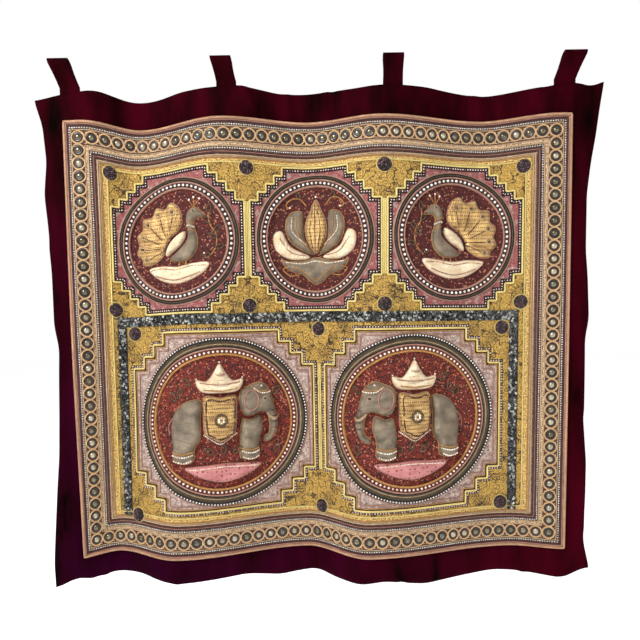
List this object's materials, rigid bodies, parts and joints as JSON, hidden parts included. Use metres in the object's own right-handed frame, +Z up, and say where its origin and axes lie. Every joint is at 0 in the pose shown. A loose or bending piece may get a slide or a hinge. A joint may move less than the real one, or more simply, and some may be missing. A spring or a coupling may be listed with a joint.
{
  "type": "kalaga wall hanging",
  "caption": "Square padded and sequinned textile panel sewn to a larger velvet ground that hangs in soft folds from hanging tabs.",
  "frame": {"origin": "the middle of the line through the hanging tabs' loops, where a rod would run", "axes": "+X across the hanging to the right as seen from the front, +Y through it to its back, +Z up"},
  "size_m": [1.1172, 0.0909, 1.0507],
  "materials": {
    "maroon_velvet": "crushed cotton velvet with a soft sheen",
    "embroidered_ground": "cream and gold cloth covered with couched cord, bead rows and metal thread",
    "couched_cord": "twisted pale gold cord couched down",
    "beadwork": "small glass beads and cord in rows",
    "sequins": "overlapping glossy sequins",
    "boss_sequins": "dark domed cluster of sequins and beads",
    "padded_satin": "grey olive satin over padding",
    "padded_gold": "gold cloth and metal thread over padding",
    "padded_cream": "cream cloth over padding"
  },
  "bodies": {
    "root": {"boss_1": "boss_sequins", "boss_10": "boss_sequins", "boss_11": "boss_sequins", "boss_12": "boss_sequins", "boss_13": "boss_sequins", "boss_14": "boss_sequins", "boss_2": "boss_sequins", "boss_3": "boss_sequins", "boss_4": "boss_sequins", "boss_5": "boss_sequins", "boss_6": "boss_sequins", "boss_7": "boss_sequins", "boss_8": "boss_sequins", "boss_9": "boss_sequins", "elephant_left_base": "padded_cream", "elephant_left_blanket": "padded_gold", "elephant_left_fore": "padded_satin", "elephant_left_head": "padded_satin", "elephant_left_hind": "padded_satin", "elephant_left_seat": "padded_gold", "elephant_right_base": "padded_cream", "elephant_right_blanket": "padded_gold", "elephant_right_fore": "padded_satin", "elephant_right_head": "padded_satin", "elephant_right_hind": "padded_satin", "elephant_right_seat": "padded_gold", "embroidered_panel": "embroidered_ground", "frame_bottom_left": "couched_cord", "frame_bottom_right": "couched_cord", "frame_top_left": "couched_cord", "frame_top_middle": "couched_cord", "frame_top_right": "couched_cord", "lotus_calyx": "padded_satin", "lotus_petal_left": "padded_satin", "lotus_petal_low_left": "padded_cream", "lotus_petal_low_right": "padded_cream", "lotus_petal_middle": "padded_gold", "lotus_petal_right": "padded_satin", "peacock_left_base": "padded_cream", "peacock_left_body": "padded_satin", "peacock_left_tail": "padded_gold", "peacock_left_wing": "padded_gold", "peacock_right_base": "padded_cream", "peacock_right_body": "padded_satin", "peacock_right_tail": "padded_gold", "peacock_right_wing": "padded_gold", "ring_bottom_left": "beadwork", "ring_bottom_right": "beadwork", "ring_top_left": "beadwork", "ring_top_middle": "beadwork", "ring_top_right": "beadwork", "sequin_band": "sequins", "tab_1": "maroon_velvet", "tab_2": "maroon_velvet", "tab_3": "maroon_velvet", "tab_4": "maroon_velvet", "velvet_ground": "maroon_velvet"}
  },
  "joints": []
}
